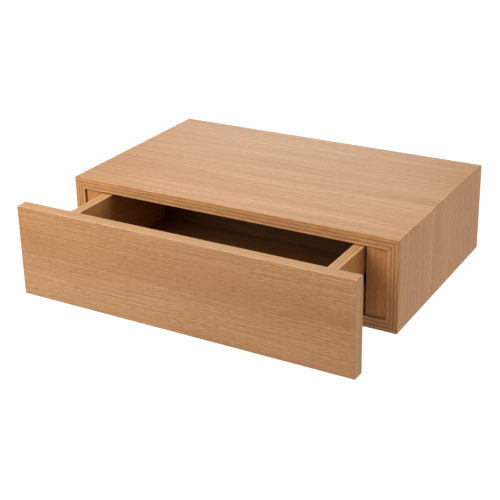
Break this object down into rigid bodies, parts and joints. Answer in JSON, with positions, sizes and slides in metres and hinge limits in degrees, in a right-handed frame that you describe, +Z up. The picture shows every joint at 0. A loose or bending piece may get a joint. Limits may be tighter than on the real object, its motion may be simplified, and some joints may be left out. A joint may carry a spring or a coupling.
{
  "type": "floating nightstand",
  "caption": "Mitred oak box that hangs on a wall, with one wide drawer behind a plain full-width front, on ball-bearing runners.",
  "frame": {"origin": "middle of the wall cleat's back face, in the plane of the wall", "axes": "+X to the right as seen from the room, +Y into the wall, +Z up; the drawer opens along -Y"},
  "size_m": [0.5, 0.4301, 0.13],
  "materials": {
    "oak_veneer": "clear matt lacquer",
    "oak_edging": "clear matt lacquer",
    "drawer_oak": "thin clear lacquer",
    "plywood": "sanded, bare",
    "black_steel": "black coating",
    "zinc_steel": "zinc plated",
    "clear_pad": "soft and slightly cloudy",
    "latch_plastic": "fine moulded grain"
  },
  "bodies": {
    "carcass": {"back_panel": "plywood", "bottom_edging": "oak_edging", "bottom_panel": "oak_veneer", "hanging_cleat": "plywood", "hanging_cleat_screw_left": "zinc_steel", "hanging_cleat_screw_right": "zinc_steel", "latch_housing": "latch_plastic", "latch_screw_left": "zinc_steel", "latch_screw_right": "zinc_steel", "left_cabinet_rail": "black_steel", "left_cabinet_rail_screw_front": "zinc_steel", "left_cabinet_rail_screw_rear": "zinc_steel", "left_cheek": "drawer_oak", "left_edging": "oak_edging", "left_filler_strip": "oak_edging", "left_side_panel": "oak_veneer", "lower_rail": "plywood", "lower_rail_screw_left": "zinc_steel", "lower_rail_screw_right": "zinc_steel", "right_cabinet_rail": "black_steel", "right_cabinet_rail_screw_front": "zinc_steel", "right_cabinet_rail_screw_rear": "zinc_steel", "right_cheek": "drawer_oak", "right_edging": "oak_edging", "right_filler_strip": "oak_edging", "right_side_panel": "oak_veneer", "top_edging": "oak_edging", "top_panel": "oak_veneer", "wall_cleat": "plywood"},
    "drawer": {"bumper_pad_lower_left": "clear_pad", "bumper_pad_lower_right": "clear_pad", "bumper_pad_upper_left": "clear_pad", "bumper_pad_upper_right": "clear_pad", "drawer_back": "drawer_oak", "drawer_bottom": "plywood", "drawer_box_front": "drawer_oak", "front_panel": "oak_veneer", "front_panel_bottom_band": "oak_edging", "front_panel_left_band": "oak_edging", "front_panel_right_band": "oak_edging", "front_panel_screw_lower_left": "zinc_steel", "front_panel_screw_lower_right": "zinc_steel", "front_panel_screw_upper_left": "zinc_steel", "front_panel_screw_upper_right": "zinc_steel", "front_panel_top_band": "oak_edging", "left_drawer_rail": "black_steel", "left_drawer_rail_screw_front": "zinc_steel", "left_drawer_rail_screw_rear": "zinc_steel", "left_drawer_side": "drawer_oak", "right_drawer_rail": "black_steel", "right_drawer_rail_screw_front": "zinc_steel", "right_drawer_rail_screw_rear": "zinc_steel", "right_drawer_side": "drawer_oak", "strike_plate": "zinc_steel"},
    "left_cage": {"left_ball_cage": "zinc_steel"},
    "right_cage": {"right_ball_cage": "zinc_steel"},
    "plunger": {"latch_plunger": "latch_plastic"}
  },
  "joints": [
    {"name": "drawer_slide", "type": "slide", "parent": "carcass", "child": "drawer", "axis": [0, -1, 0], "range_m": [-0.106, 0.044]},
    {"name": "left_cage_slide", "type": "slide", "parent": "carcass", "child": "left_cage", "axis": [0, -1, 0], "range_m": [-0.053, 0.022]},
    {"name": "right_cage_slide", "type": "slide", "parent": "carcass", "child": "right_cage", "axis": [0, -1, 0], "range_m": [-0.053, 0.022]},
    {"name": "latch_press", "type": "slide", "parent": "carcass", "child": "plunger", "axis": [0, 1, 0], "range_m": [0, 0.004], "stiffness_N_per_m": 150, "springref_m": -0.004}
  ],
  "couplings": [
    {"joint": "left_cage_slide", "follows": "drawer_slide", "ratio": 0.5},
    {"joint": "right_cage_slide", "follows": "drawer_slide", "ratio": 0.5}
  ]
}
